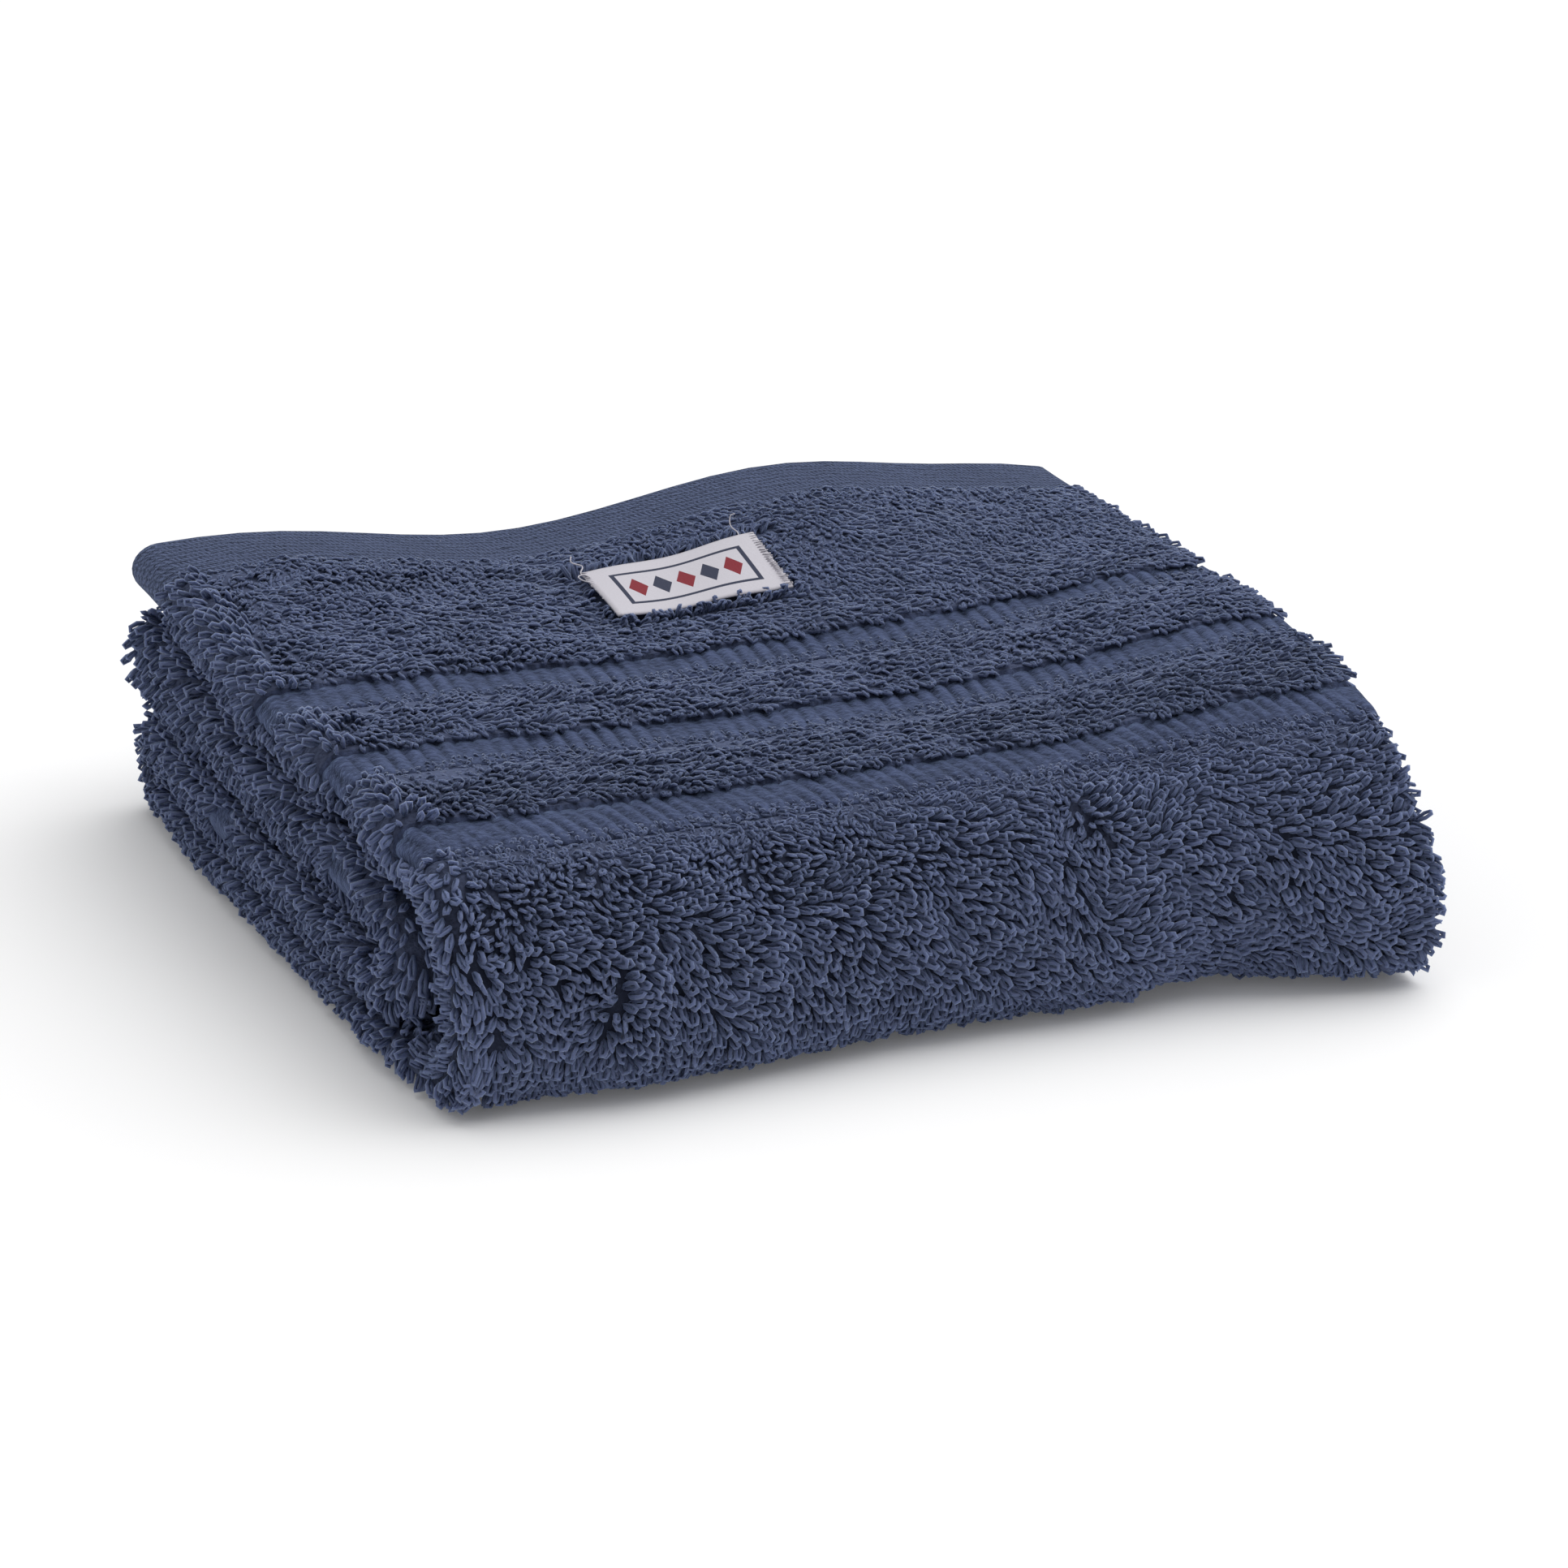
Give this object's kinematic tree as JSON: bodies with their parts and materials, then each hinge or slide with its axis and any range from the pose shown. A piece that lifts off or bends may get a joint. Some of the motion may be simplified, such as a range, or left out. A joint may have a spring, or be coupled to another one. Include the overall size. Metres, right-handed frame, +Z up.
{
  "type": "folded hand towel",
  "caption": "Thick terry hand towel folded into a square stack, with flat ribbed bands, a twill hem and a small sewn label on top.",
  "frame": {"origin": "Middle of the underside, on the surface that the towel rests on", "axes": "+Z up; -Y to the front, where the last fold is; -X to the side of the lengthwise folds; hems at +Y, selvedges at +X"},
  "size_m": [0.255, 0.2459, 0.0706],
  "materials": {
    "navy_terry": "looped terry pile, matte",
    "white_label": "fine woven ribbon, matte"
  },
  "bodies": {
    "root": {"towel_cloth": "navy_terry", "woven_label": "white_label"}
  },
  "joints": []
}
